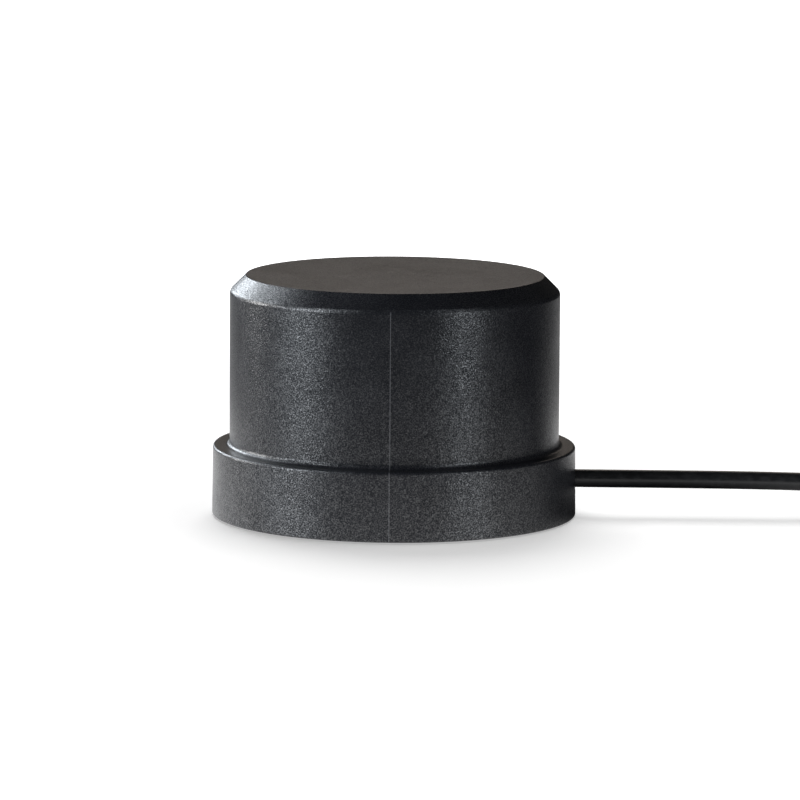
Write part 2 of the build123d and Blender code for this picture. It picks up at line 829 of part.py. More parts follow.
coil_tie.part.label = "coil_tie"
export_step(coil_tie.part, "parts/coil_tie.step")

with BuildPart() as cord_tail:
    with BuildLine() as tail_path:
        FilletPolyline(*tail_route, radius=bend_radii(tail_route))
    with BuildSketch(end_plane(tail_path.line)):
        Circle(cable_radius)
    sweep(path=tail_path.line)

print("tail radii", [round(radius, 1) for radius in bend_radii(tail_route)])
report_cable("tail", tail_path.wire(), cord_tail.part)
cord_tail.part.label = "cord_tail"
export_step(cord_tail.part, "parts/cord_tail.step")

# ---------------------------------------------------------------- screw plug at the lead's end

relief_end = 11.0
grip_start = relief_end + 2.5
grip_end = 22.5
body_end = 25.0
grip_radius = 4.9
relief_groove = 1.1  # width of each of the four grooves that let the strain relief bend
relief_groove_pitch = 2.4
relief_groove_floor = 2.0  # radius at the first groove; the floors follow the taper
relief_groove_rise = 0.2
flute_count = 12
flute_radius = 1.0
flute_ring = 5.6
with BuildPart() as plug_body:
    add(
        plug_section(
            [
                (0, 0),
                (0, 2.3),
                (relief_end, 3.3),
                (grip_start, grip_radius),
                (grip_end, grip_radius),
                (body_end, 4.3),
                (body_end, carrier_radius),
                (carrier_rear, carrier_radius),
                (carrier_rear, 0),
            ]
        )
    )
    revolve(axis=plug_axis)
    for groove in range(4):
        with BuildSketch(across_plug(1.6 + relief_groove_pitch * groove)):
            Circle(grip_radius + 0.1)
            Circle(relief_groove_floor + relief_groove_rise * groove, mode=Mode.SUBTRACT)
        extrude(amount=relief_groove, mode=Mode.SUBTRACT)
    # Flutes for the fingers, which stop a millimetre short of the grip's ends.
    with BuildSketch(across_plug(grip_start + 1.0)):
        with PolarLocations(flute_ring, flute_count):
            Circle(flute_radius)
    extrude(amount=grip_end - grip_start - 2.0, mode=Mode.SUBTRACT)

plug_body.part.label = "plug_body"
export_step(plug_body.part, "parts/plug_body.step")

pin_radius = 0.4
pin_ring = 1.9
ring_pins = 5  # round one in the middle
pin_rear = 24.0
pin_front = 34.4
key_slot = (1.1, 1.2)  # width, depth
key_slot_length = 2.0
with BuildPart() as plug_carrier:
    add(
        plug_section(
            [
                (carrier_rear, 0),
                (carrier_rear, carrier_radius),
                (snap_ring[0], carrier_radius),
                (snap_ring[0], snap_ring_radius),
                (snap_ring[1], snap_ring_radius),
                (snap_ring[1], carrier_radius),
                (carrier_front, carrier_radius),
                (carrier_front, 0),
            ]
        )
    )
    revolve(axis=plug_axis)
    with BuildSketch(across_plug(pin_rear)):
        Circle(pin_radius)
        with PolarLocations(pin_ring, ring_pins):
            Circle(pin_radius)
    extrude(amount=carrier_front - pin_rear, mode=Mode.SUBTRACT)
    # The slot that keys the plug to its socket.
    with BuildSketch(across_plug(carrier_front - key_slot_length)):
        with Locations((0, carrier_radius)):
            Rectangle(*key_slot)
    extrude(amount=key_slot_length, mode=Mode.SUBTRACT)

plug_carrier.part.label = "plug_carrier"
export_step(plug_carrier.part, "parts/plug_carrier.step")

with BuildPart() as plug_pins:
    with BuildSketch(across_plug(pin_rear)):
        Circle(pin_radius)
        with PolarLocations(pin_ring, ring_pins):
            Circle(pin_radius)
    extrude(amount=pin_front - pin_rear)
    chamfer(plug_pins.faces().filter_by(Axis.X).group_by(Axis.X)[-1].edges(), 0.15)

plug_pins.part.label = "plug_pins"
export_step(plug_pins.part, "parts/plug_pins.step")

nut_bevel = 0.4
thread_bevel = 0.5
snap_groove = (snap_ring[0] - 0.2, snap_ring[1] + 0.2)
snap_groove_radius = snap_ring_radius + 0.1
thread_start = nut_shoulder + 1.2  # in front of the place for the seal
thread_grooves = 3
knurl_groove = 0.32
knurl_margin = 0.8  # plain rim at each end of the knurl
with BuildPart() as coupling_nut:
    add(
        plug_section(
            [
                (nut_rear, nut_bore),
                (nut_rear, nut_radius - nut_bevel),
                (nut_rear + nut_bevel, nut_radius),
                (nut_shoulder - nut_bevel, nut_radius),
                (nut_shoulder, nut_radius - nut_bevel),
                (nut_shoulder, thread_radius),
                (nut_front - thread_bevel, thread_radius),
                (nut_front, thread_radius - thread_bevel),
                (nut_front, nut_bore),
                (snap_groove[1], nut_bore),
                (snap_groove[1], snap_groove_radius),
                (snap_groove[0], snap_groove_radius),
                (snap_groove[0], nut_bore),
            ]
        )
    )
    revolve(axis=plug_axis)
    # The thread, as plain grooves one pitch apart.
    for turn in range(thread_grooves):
        crest = thread_start + thread_pitch * turn
        add(
            plug_section(
                [
                    (crest, thread_radius + 0.01),
                    (crest + thread_pitch / 2, thread_radius - thread_depth),
                    (crest + thread_pitch * 0.98, thread_radius + 0.01),
                ]
            )
        )
        revolve(axis=plug_axis, mode=Mode.SUBTRACT)
    with BuildSketch(across_plug(nut_rear + knurl_margin)):
        with PolarLocations(nut_radius, knurl_count):
            Circle(knurl_groove)
    extrude(amount=nut_shoulder - nut_rear - 2 * knurl_margin, mode=Mode.SUBTRACT)

coupling_nut.part.label = "coupling_nut"
export_step(coupling_nut.part, "parts/coupling_nut.step")

seal_rear_radius = 4.9
seal_front_radius = 4.7
seal_front = nut_shoulder + 0.9
with BuildPart() as plug_seal:
    add(
        plug_section(
            [
                (nut_shoulder, thread_radius),
                (nut_shoulder, seal_rear_radius),
                (seal_front, seal_front_radius),
                (seal_front, thread_radius),
            ]
        )
    )
    revolve(axis=plug_axis)

plug_seal.part.label = "plug_seal"
export_step(plug_seal.part, "parts/plug_seal.step")
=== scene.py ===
"""Looks of the GNSS receiver: the lead, the strap round its coil, materials, table, lights and camera.

Metres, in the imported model's own frame: +Z up from the surface that the puck stands on, -Y the front,
+X to where the lead leaves the flange.
"""

import json
import math

import bmesh
import bpy
from mathutils import Matrix, Vector


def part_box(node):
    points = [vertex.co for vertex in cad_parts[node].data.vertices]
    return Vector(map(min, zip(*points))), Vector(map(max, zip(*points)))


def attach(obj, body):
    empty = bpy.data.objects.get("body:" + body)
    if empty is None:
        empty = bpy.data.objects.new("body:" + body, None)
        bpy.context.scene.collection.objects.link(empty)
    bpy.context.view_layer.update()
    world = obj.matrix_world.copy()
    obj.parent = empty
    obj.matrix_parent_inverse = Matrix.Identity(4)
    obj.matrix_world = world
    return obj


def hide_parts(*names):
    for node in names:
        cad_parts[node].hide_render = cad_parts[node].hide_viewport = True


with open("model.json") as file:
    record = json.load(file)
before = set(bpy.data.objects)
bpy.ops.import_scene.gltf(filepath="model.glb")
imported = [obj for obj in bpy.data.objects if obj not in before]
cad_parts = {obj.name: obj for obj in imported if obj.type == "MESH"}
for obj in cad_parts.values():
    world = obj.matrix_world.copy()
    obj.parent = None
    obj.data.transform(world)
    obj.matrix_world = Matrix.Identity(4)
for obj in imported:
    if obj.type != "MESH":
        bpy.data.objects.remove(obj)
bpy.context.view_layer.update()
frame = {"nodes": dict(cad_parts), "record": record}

MM = 0.001
UP = Vector((0, 0, 1))


# ------------------------------------------------------------------ camera

camera_distance = 1.035
camera_azimuth = math.radians(1.4)  # round from the front, towards +X
camera_elevation = math.radians(8.494)
camera_roll = math.radians(0.375)
camera_lens = 257.06  # focal length in mm on a sensor 36 mm wide
aim_height = 20.89 * MM
aim_aside = 1.01 * MM


def direction(azimuth, elevation):
    """The way from the object to something that stands round it; azimuth 0 is the front, 90 degrees +X."""
    level = math.cos(elevation)
    return Vector((math.sin(azimuth) * level, -math.cos(azimuth) * level, math.sin(elevation)))


def add_camera():
    """A long lens, a little above the table, as for a catalogue picture."""
    back = direction(camera_azimuth, camera_elevation)
    right = UP.cross(back).normalized()
    up = back.cross(right)
    aim = right * aim_aside + UP * aim_height
    place = aim + back * camera_distance
    rolled_right = right * math.cos(camera_roll) + up * math.sin(camera_roll)
    rolled_up = back.cross(rolled_right)
    data = bpy.data.cameras.new("camera")
    data.lens = camera_lens
    data.sensor_width = 36.0
    data.clip_start = 0.01
    camera = bpy.data.objects.new("camera", data)
    camera.matrix_world = Matrix(
        [(rolled_right[i], rolled_up[i], back[i], place[i]) for i in range(3)] + [(0, 0, 0, 1)]
    )
    bpy.context.scene.collection.objects.link(camera)
    bpy.context.scene.camera = camera


# ------------------------------------------------------------------ the lead

cable_radius = 1.65 * MM

lead_route = [
    (0.0210, 0.0000, 0.00690),
    (0.0440, 0.0000, 0.00690),
    (0.0660, 0.0000, 0.00686),
    (0.0820, 0.0000, 0.00650),
    (0.0940, 0.0000, 0.00450),
    (0.1060, 0.0004, 0.00210),
    (0.1165, 0.0046, 0.00165),
    (0.1234, 0.0138, 0.00165),
]
tail_route = [
    (0.0832, 0.0210, 0.01075),
    (0.0829, 0.0102, 0.01095),
    (0.0830, -0.0016, 0.01060),
    (0.0884, -0.0113, 0.00800),
    (0.0978, -0.0170, 0.00525),
    (0.1074, -0.0170, 0.00525),
]
coil_centre = Vector((103.8 * MM, 26.2 * MM, 0))
coil_mean_radius = 18.2 * MM
coil_layers = 4
turns_per_layer = 3
turn_pitch = 3.4 * MM
outermost = 1.25  # turn pitches from the mean radius to the first turn of a layer
layer_pitch = 2.95 * MM
coil_middle = cable_radius + (coil_layers - 1) / 2 * layer_pitch  # height of the middle of the bundle

tie_angle = 10.0  # degrees round the coil; each turn moves over to its neighbour's place under the tie
coil_step = 15.0
coil_first = -15.0
coil_last = 180.0 + 360.0 * (coil_layers * turns_per_layer - 1)
crossing_half = 30.0  # degrees to each side of the tie that a change of place takes
squeeze_full = 13.0  # under the tie itself
squeeze_none = 36.0
squeeze = 0.2  # how far the tie presses the bundle together
settling = 90.0  # degrees over which the last turn comes to the tail's height


def ease(value, low, high):
    """0 below low, 1 above high, and a smooth step between."""
    share = min(1.0, max(0.0, (value - low) / (high - low)))
    return share * share * (3 - 2 * share)


def coil_places():
    """(radius, height) of each turn as wound: inwards on one layer, outwards on the next."""
    places = []
    for layer in range(coil_layers):
        side = 1 if layer % 2 == 0 else -1
        for turn in range(turns_per_layer):
            aside = side * turn_pitch * (outermost - turn)
            places.append((coil_mean_radius + aside, cable_radius + layer_pitch * layer))
    return places


def coil_route():
    """The coil's turns as points of the cord's spline."""
    places = coil_places()
    bulge = 1 / math.cos(math.radians(coil_step / 2))  # a spline of order 3 passes inside its points
    lift = tail_route[0][2] - places[-1][1]
    route = []
    count = round((coil_last - coil_first) / coil_step)
    for index in range(count + 1):
        angle = coil_first + coil_step * index
        change = round((angle - tie_angle) / 360)
        past_tie = angle - tie_angle - 360 * change
        before = places[max(0, change - 1)]
        after = places[change]
        moved = ease(past_tie, -crossing_half, crossing_half)
        radius = before[0] + (after[0] - before[0]) * moved
        height = before[1] + (after[1] - before[1]) * moved
        pressed = 1 - squeeze * (1 - ease(abs(past_tie), squeeze_full, squeeze_none))
        radius = coil_mean_radius + (radius - coil_mean_radius) * pressed
        height = coil_middle + (height - coil_middle) * pressed
        height += lift * ease(angle, coil_last - settling, coil_last)
        turned = math.radians(angle)
        outwards = Vector((math.cos(turned), math.sin(turned), 0))
        route.append(coil_centre + outwards * radius * bulge + UP * height)
    return route


def add_cord():
    """The whole lead, from inside the flange to the plug, as one round curve."""
    points = [Vector(p) for p in lead_route] + coil_route() + [Vector(p) for p in tail_route]
    data = bpy.data.curves.new("lead_cable", "CURVE")
    data.dimensions = "3D"
    data.bevel_depth = 1.0  # times each point's radius, which also sets the curve's own box
    data.bevel_resolution = 6
    data.resolution_u = 6
    data.use_fill_caps = True
    spline = data.splines.new("NURBS")
    spline.points.add(len(points) - 1)
    for spline_point, point in zip(spline.points, points):
        spline_point.co = (*point, 1)
        spline_point.radius = cable_radius
    spline.order_u = 3
    spline.use_endpoint_u = True
    cord = bpy.data.objects.new("lead_cable", data)
    bpy.context.scene.collection.objects.link(cord)
    return cord


# ------------------------------------------------------------------ the strap round the coil

strap_width = 7.4 * MM
strap_thickness = 0.9 * MM
strap_overlap = 9.0 * MM
strap_corner = 2.2 * MM
strap_corner_step = 15  # degrees
strap_spacing = 0.6 * MM
strap_ramp = 2.5 * MM  # the length over which the free end climbs onto the strap's start
strap_section = [  # across the strap, as shares of its width and thickness, with its edges bevelled
    (-0.5, -0.36), (-0.46, -0.5), (0.46, -0.5), (0.5, -0.36),
    (0.5, 0.36), (0.46, 0.5), (-0.46, 0.5), (-0.5, 0.36),
]


def strap_line(half_width, half_height, corner, spacing):
    """Points round a rectangle with round corners, from the middle of its top and back to it."""
    corners = [(1, 1, 90), (1, -1, 0), (-1, -1, -90), (-1, 1, -180)]
    points = [Vector((0, half_height))]
    for side_x, side_y, first in corners:
        centre = Vector((side_x * (half_width - corner), side_y * (half_height - corner)))
        for step in range(90 // strap_corner_step + 1):
            angle = math.radians(first - strap_corner_step * step)
            points.append(centre + corner * Vector((math.cos(angle), math.sin(angle))))
    points.append(Vector((0, half_height)))
    line = [points[0]]
    for before, after in zip(points, points[1:]):
        pieces = max(1, round((after - before).length / spacing))
        line += [before.lerp(after, (n + 1) / pieces) for n in range(pieces)]
    return line


def add_strap():
    """A hook-and-loop strap round all the turns, its free end lying over its start."""
    tie_low, tie_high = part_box("coil_tie")
    half_height = (tie_high.z - tie_low.z - strap_thickness) / 2
    half_width = turn_pitch * outermost + cable_radius - strap_thickness / 2
    loop = strap_line(half_width, half_height, strap_corner, strap_spacing)
    travelled = 0.0
    overlap = []
    for before, after in zip(loop, loop[1:]):
        rise = strap_thickness * ease(travelled, 0, strap_ramp)
        outwards = Vector((before.y - after.y, after.x - before.x)).normalized()
        overlap.append(before + outwards * rise)
        travelled += (after - before).length
        if travelled > strap_overlap:
            break
    middle = loop + overlap[1:]

    turned = math.radians(tie_angle)
    outwards = Vector((math.cos(turned), math.sin(turned), 0))
    sideways = UP.cross(outwards)
    origin = coil_centre + outwards * coil_mean_radius + UP * coil_middle
    mesh = bmesh.new()
    rings = []
    for index, point in enumerate(middle):
        before = middle[max(0, index - 1)]
        after = middle[min(len(middle) - 1, index + 1)]
        along = (after - before).normalized()
        normal = Vector((-along.y, along.x))
        ring = []
        for across, through in strap_section:
            place = point + normal * (through * strap_thickness)
            in_plane = outwards * place.x + UP * place.y
            ring.append(mesh.verts.new(origin + in_plane + sideways * (across * strap_width)))
        rings.append(ring)
    for ring, following in zip(rings, rings[1:]):
        for corner in range(len(strap_section)):
            beside = (corner + 1) % len(strap_section)
            mesh.faces.new((ring[corner], ring[beside], following[beside], following[corner]))
    mesh.faces.new(rings[0][::-1])
    mesh.faces.new(rings[-1])
    bmesh.ops.recalc_face_normals(mesh, faces=mesh.faces)
    data = bpy.data.meshes.new("coil_strap")
    mesh.to_mesh(data)
    mesh.free()
    data.shade_smooth()
    strap = bpy.data.objects.new("coil_strap", data)
    bpy.context.scene.collection.objects.link(strap)
    return strap


# ------------------------------------------------------------------ materials

parting_top = 40.9 * MM  # the mould's parting line runs up to the foot of the chamfer
parting_core = 0.06 * MM  # to each side of its middle; it fades out by parting_edge
parting_edge = 0.12 * MM
housing_grain = 0.27 * MM


class Surface:
    """A Principled material, with short names for the nodes that vary it over the object."""

    def __init__(self, name, colour, roughness, **sockets):
        self.material = bpy.data.materials.new(name)
        self.material.use_nodes = True
        self.nodes = self.material.node_tree.nodes
        self.shader = self.nodes["Principled BSDF"]
        self.set("Base Color", (*colour, 1))
        self.set("Roughness", roughness)
        for socket, value in sockets.items():
            self.set(socket.replace("_", " ").title(), value)
        self.position = self.nodes.new("ShaderNodeTexCoord").outputs["Object"]
        self.height = None

    def set(self, socket, value):
        self.shader.inputs[socket].default_value = value

    def link(self, source, target):
        self.material.node_tree.links.new(source, target)

    def stretched(self, stretch):
        """The position, scaled by this much along each axis."""
        mapping = self.nodes.new("ShaderNodeMapping")
        mapping.inputs["Scale"].default_value = stretch
        self.link(self.position, mapping.inputs["Vector"])
        return mapping.outputs["Vector"]

    def noise(self, size, detail=2.0, roughness=0.5, stretch=None):
        """Soft noise whose features are about this large, in metres."""
        texture = self.nodes.new("ShaderNodeTexNoise")
        texture.inputs["Scale"].default_value = 1 / size
        texture.inputs["Detail"].default_value = detail
        texture.inputs["Roughness"].default_value = roughness
        self.link(self.stretched(stretch) if stretch else self.position, texture.inputs["Vector"])
        return texture.outputs["Fac"]

    def cells(self, size, feature="F1", stretch=None):
        """Distance to the nearest of many scattered points, about this far apart, in metres."""
        texture = self.nodes.new("ShaderNodeTexVoronoi")
        texture.feature = feature
        texture.inputs["Scale"].default_value = 1 / size
        self.link(self.stretched(stretch) if stretch else self.position, texture.inputs["Vector"])
        return texture.outputs["Distance"]

    def spread(self, factor, low, high, start=0.3, end=0.7):
        """The factor, with its range from start to end taken to low and high."""
        stretch = self.nodes.new("ShaderNodeMapRange")
        stretch.inputs["From Min"].default_value = start
        stretch.inputs["From Max"].default_value = end
        stretch.inputs["To Min"].default_value = low
        stretch.inputs["To Max"].default_value = high
        self.link(factor, stretch.inputs["Value"])
        return stretch.outputs["Result"]

    def along(self, axis):
        """The position along one axis, in metres."""
        split = self.nodes.new("ShaderNodeSeparateXYZ")
        self.link(self.position, split.inputs[0])
        return split.outputs[axis]

    def combine(self, operation, first, second=None):
        """One or two values through a Math node."""
        node = self.nodes.new("ShaderNodeMath")
        node.operation = operation
        self.link(first, node.inputs[0])
        if second is not None:
            self.link(second, node.inputs[1])
        return node.outputs[0]

    def blend(self, factor, first, second):
        """A colour between two, by the factor; the first may be another blend."""
        node = self.nodes.new("ShaderNodeMix")
        node.data_type = "RGBA"
        self.link(factor, node.inputs["Factor"])
        for value, socket in ((first, node.inputs[6]), (second, node.inputs[7])):
            if isinstance(value, tuple):
                socket.default_value = (*value, 1)
            else:
                self.link(value, socket)
        return node.outputs[2]

    def colour(self, source):
        self.link(source, self.shader.inputs["Base Color"])

    def roughness(self, source):
        self.link(source, self.shader.inputs["Roughness"])

    def shine(self, source):
        """How strongly the surface mirrors: 0.5 is plain plastic."""
        self.link(source, self.shader.inputs["Specular IOR Level"])

    def relief(self, height, depth):
        """Bump of this depth in metres, over any bump that is already there."""
        bump = self.nodes.new("ShaderNodeBump")
        bump.inputs["Strength"].default_value = 1.0
        bump.inputs["Distance"].default_value = depth
        self.link(height, bump.inputs["Height"])
        if self.height is not None:
            self.link(self.height, bump.inputs["Normal"])
        self.height = bump.outputs["Normal"]
        self.link(self.height, self.shader.inputs["Normal"])


def spark_eroded_plastic():
    """The housing: black ABS with the even grain of a spark-eroded mould, and a parting line painted
    lighter, partly its flash and partly a painted highlight where its ridge catches the light.
    """
    plastic = Surface("housing_plastic", (0.011, 0.0115, 0.013), 0.32)
    grain = plastic.noise(housing_grain, detail=1.0)
    fine = plastic.noise(0.15 * MM, detail=1.0)
    mottle = plastic.noise(7 * MM, detail=3.0)

    # Painted highlight: the parting line is painted light grey, partly for its flash and partly for the
    # light that its ridge catches.
    from_middle = plastic.combine("ABSOLUTE", plastic.along("X"))
    beside = plastic.spread(from_middle, 1, 0, parting_core, parting_edge)
    below = plastic.spread(plastic.along("Z"), 1, 0, parting_top - 0.1 * MM, parting_top)
    line = plastic.combine("MULTIPLY", beside, below)
    body = plastic.blend(plastic.spread(mottle, 0, 1), (0.009, 0.0095, 0.0115), (0.013, 0.0135, 0.016))
    plastic.colour(plastic.blend(line, body, (0.075, 0.075, 0.08)))

    # Single grains mirror more or less of the light; the slight stretch keeps them apart from the relief.
    facets = plastic.noise(0.24 * MM, detail=1.0, stretch=(1, 1, 1.01))
    clumps = plastic.noise(0.8 * MM, detail=2.0)
    single = plastic.spread(facets, 0.15, 1.2, 0.4, 0.75)
    plastic.shine(plastic.combine("MULTIPLY", single, plastic.spread(clumps, 0.75, 1.25)))
    plastic.roughness(plastic.spread(mottle, 0.29, 0.35))
    plastic.relief(grain, 0.045 * MM)
    plastic.relief(fine, 0.012 * MM)
    return plastic.material


def smooth_plastic(name, colour, grain_size=0.4 * MM):
    """A plain moulded plastic, a little uneven in colour and gloss."""
    plastic = Surface(name, colour, 0.42)
    mottle = plastic.noise(5 * MM, detail=3.0)
    darker = tuple(0.8 * c for c in colour)
    lighter = tuple(1.2 * c for c in colour)
    plastic.colour(plastic.blend(plastic.spread(mottle, 0, 1), darker, lighter))
    plastic.roughness(plastic.spread(mottle, 0.36, 0.48))
    plastic.relief(plastic.noise(grain_size), 0.006 * MM)
    return plastic.material


def moulded_rubber(name, colour, roughness=0.6):
    """Matte rubber with a fine moulded grain and a little dust."""
    rubber = Surface(name, colour, roughness)
    dust = rubber.noise(3 * MM, detail=5.0, roughness=0.65)
    lighter = tuple(1.7 * c + 0.004 for c in colour)
    rubber.colour(rubber.blend(rubber.spread(dust, 0, 1, 0.4, 0.8), colour, lighter))
    rubber.roughness(rubber.spread(dust, roughness - 0.07, roughness + 0.08))
    rubber.relief(rubber.noise(0.25 * MM, detail=3.0), 0.012 * MM)
    return rubber.material


def cable_sheath():
    """Satin black PVC, drawn smooth, with faint scuffs."""
    sheath = Surface("cable_sheath", (0.012, 0.012, 0.013), 0.34)
    scuffs = sheath.noise(1.2 * MM, detail=4.0, roughness=0.7)
    scuffed = sheath.spread(scuffs, 0, 1, 0.45, 0.8)
    sheath.colour(sheath.blend(scuffed, (0.009, 0.009, 0.010), (0.022, 0.022, 0.023)))
    sheath.roughness(sheath.spread(scuffs, 0.28, 0.42))
    sheath.relief(sheath.noise(0.5 * MM, detail=2.0), 0.006 * MM)
    return sheath.material


def strap_fabric():
    """Black hook-and-loop strap: a brushed pile of fine loops over a woven band."""
    fabric = Surface("tie_fabric", (0.02, 0.02, 0.021), 0.85, sheen_weight=0.5, sheen_roughness=0.4)
    pile = fabric.cells(0.32 * MM)
    clumps = fabric.noise(1.1 * MM, detail=4.0, roughness=0.7)
    fabric.colour(fabric.blend(fabric.spread(clumps, 0, 1), (0.012, 0.012, 0.013), (0.045, 0.045, 0.048)))
    fabric.relief(clumps, 0.12 * MM)
    fabric.relief(pile, 0.10 * MM)
    return fabric.material


def metal(name, colour, roughness, grain=0.15 * MM, stretch=None):
    """Plated or turned metal, with fine marks and uneven gloss."""
    plate = Surface(name, colour, roughness, metallic=1.0)
    marks = plate.noise(grain, detail=3.0, stretch=stretch)
    stains = plate.noise(2.5 * MM, detail=4.0)
    darker = tuple(0.78 * c for c in colour)
    plate.colour(plate.blend(plate.spread(stains, 0, 1), darker, colour))
    plate.roughness(plate.spread(marks, roughness - 0.06, roughness + 0.1))
    plate.relief(marks, 0.002 * MM)
    return plate.material


def circuit_board():
    """Green solder mask over copper pours, which show through as a slightly lighter green."""
    board = Surface("board_green", (0.01, 0.11, 0.045), 0.3, coat_weight=0.3, coat_roughness=0.12)
    pours = board.cells(4 * MM, feature="DISTANCE_TO_EDGE", stretch=(1, 1, 0.001))
    tracks = board.spread(pours, 1, 0, 0.03, 0.05)
    board.colour(board.blend(tracks, (0.012, 0.13, 0.05), (0.006, 0.07, 0.03)))
    board.relief(tracks, -0.03 * MM)
    board.roughness(board.spread(board.noise(1 * MM), 0.25, 0.36))
    return board.material


def fired_ceramic(name, colour):
    """Pressed and fired ceramic with small pores, with painted shade in them."""
    ceramic = Surface(name, colour, 0.5)
    pores = ceramic.spread(ceramic.cells(0.6 * MM), 0, 1, 0.05, 0.25)
    clouds = ceramic.noise(6 * MM, detail=3.0)
    clouded = ceramic.blend(ceramic.spread(clouds, 0, 1), tuple(0.88 * c for c in colour), colour)
    # Painted shade: the pores are painted darker where the relief sinks, for the shade that falls in them.
    shade = ceramic.blend(pores, tuple(0.6 * c for c in colour), (1.0, 1.0, 1.0))
    shaded = ceramic.nodes.new("ShaderNodeMix")
    shaded.data_type = "RGBA"
    shaded.blend_type = "MULTIPLY"
    shaded.inputs["Factor"].default_value = 1.0
    ceramic.link(clouded, shaded.inputs[6])
    ceramic.link(shade, shaded.inputs[7])
    ceramic.colour(shaded.outputs[2])
    ceramic.roughness(ceramic.spread(clouds, 0.42, 0.56))
    ceramic.relief(pores, 0.02 * MM)
    return ceramic.material


def closed_cell_foam():
    """Dark grey foam, all small open bubbles where it was cut, with painted shade in their hollows."""
    foam = Surface("foam", (0.09, 0.09, 0.09), 0.9)
    bubbles = foam.cells(0.5 * MM)
    # Painted shade: each bubble is painted darker at its middle, the deepest part of the relief, for the
    # shade in it.
    foam.colour(foam.blend(foam.spread(bubbles, 0, 1, 0.1, 0.6), (0.04, 0.04, 0.04), (0.14, 0.14, 0.14)))
    foam.relief(bubbles, 0.2 * MM)
    return foam.material


def make_materials():
    """A material for each of the record's slots."""
    return {
        "housing_plastic": spark_eroded_plastic(),
        "base_plastic": smooth_plastic("base_plastic", (0.028, 0.028, 0.03)),
        "seal_rubber": moulded_rubber("seal_rubber", (0.014, 0.014, 0.014), 0.5),
        "foot_rubber": moulded_rubber("foot_rubber", (0.02, 0.02, 0.021), 0.72),
        "magnet_nickel": metal("magnet_nickel", (0.66, 0.63, 0.58), 0.2),
        "keeper_steel": metal("keeper_steel", (0.52, 0.53, 0.55), 0.35),
        "insert_brass": metal("insert_brass", (0.74, 0.55, 0.25), 0.3, stretch=(0.1, 0.1, 1)),
        "screw_steel": metal("screw_steel", (0.56, 0.55, 0.54), 0.28),
        "board_green": circuit_board(),
        "shield_tin": metal("shield_tin", (0.62, 0.62, 0.61), 0.33, stretch=(1, 0.04, 1)),
        "chip_epoxy": smooth_plastic("chip_epoxy", (0.022, 0.022, 0.022), 0.15 * MM),
        "capacitor_ceramic": fired_ceramic("capacitor_ceramic", (0.46, 0.33, 0.18)),
        "cell_steel": metal("cell_steel", (0.66, 0.66, 0.65), 0.16),
        "connector_nylon": smooth_plastic("connector_nylon", (0.72, 0.68, 0.58)),
        "patch_ceramic": fired_ceramic("patch_ceramic", (0.70, 0.67, 0.60)),
        "electrode_silver": metal("electrode_silver", (0.72, 0.70, 0.66), 0.4),
        "foam": closed_cell_foam(),
        "contact_gold": metal("contact_gold", (0.83, 0.62, 0.27), 0.22),
        "jumper_sheath": smooth_plastic("jumper_sheath", (0.03, 0.03, 0.03)),
        "wire_sheath": smooth_plastic("wire_sheath", (0.42, 0.03, 0.025)),
        "cable_sheath": cable_sheath(),
        "tie_fabric": strap_fabric(),
        "plug_rubber": moulded_rubber("plug_rubber", (0.014, 0.014, 0.015), 0.48),
        "plug_insulator": smooth_plastic("plug_insulator", (0.02, 0.02, 0.02)),
        "nut_nickel": metal("nut_nickel", (0.62, 0.60, 0.55), 0.24, stretch=(1, 0.1, 0.1)),
    }


def dress(piece, material):
    """The piece wears this material all over."""
    if not piece.material_slots:
        piece.data.materials.append(material)
    for material_slot in piece.material_slots:
        material_slot.material = material


# ------------------------------------------------------------------ floor, world and lights

floor_side = 8.0
floor_drop = 0.01 * MM  # just below the feet, so that the two don't share a plane
floor_albedo = 0.8
seen_near = 0.38  # the table's glow for the camera: weak near the object, so that its shadows show
seen_far = 1.05
seen_reach = (150 * MM, 400 * MM)  # the distances between which the first turns into the second
pool_glow = 1.25  # a painted pool of light round the object, as reflected in it
pool_reach = (80 * MM, 155 * MM)
shade_at = (46 * MM, 20 * MM)  # the object's own shade painted on that pool, where the lead leaves it
shade_reach = (20 * MM, 59 * MM)
backdrop_glow = 0.45  # a painted patch of glow on the table far behind the object, which rims its sides
backdrop_at = (0.0, 280 * MM)
backdrop_reach = (170 * MM, 290 * MM)


def only_for_camera(nodes):
    """1 for what the camera sees directly, 0 for reflections and bounced light."""
    return nodes.new("ShaderNodeLightPath").outputs["Is Camera Ray"]


def round_patch(material, centre, reach, inside, outside):
    """A value that goes smoothly from inside to outside over these distances from a point of the table."""
    nodes = material.node_tree.nodes
    links = material.node_tree.links
    distance = nodes.new("ShaderNodeVectorMath")
    distance.operation = "DISTANCE"
    links.new(nodes.new("ShaderNodeTexCoord").outputs["Object"], distance.inputs[0])
    distance.inputs[1].default_value = (*centre, 0)
    patch = nodes.new("ShaderNodeMapRange")
    patch.interpolation_type = "SMOOTHSTEP"
    patch.inputs["From Min"].default_value = reach[0]
    patch.inputs["From Max"].default_value = reach[1]
    patch.inputs["To Min"].default_value = inside
    patch.inputs["To Max"].default_value = outside
    links.new(distance.outputs["Value"], patch.inputs["Value"])
    return patch.outputs["Result"]


def floor_glow(material):
    """The table's painted glow: weak near the object and brighter further out as seen, and painted pools
    of light, with the object's painted shade in one, as reflected in the object.
    """
    nodes = material.node_tree.nodes
    links = material.node_tree.links
    seen = round_patch(material, (0, 0), seen_reach, seen_near, seen_far)
    pool = round_patch(material, (0, 0), pool_reach, pool_glow, 0)
    shade = round_patch(material, shade_at, shade_reach, 0, 1)
    backdrop = round_patch(material, backdrop_at, backdrop_reach, backdrop_glow, 0)
    pools = nodes.new("ShaderNodeMath")
    pools.operation = "MULTIPLY_ADD"
    for source, socket in zip((pool, shade, backdrop), pools.inputs):
        links.new(source, socket)
    either = nodes.new("ShaderNodeMix")
    links.new(only_for_camera(nodes), either.inputs["Factor"])
    links.new(pools.outputs[0], either.inputs[2])
    links.new(seen, either.inputs[3])
    return either.outputs[0]


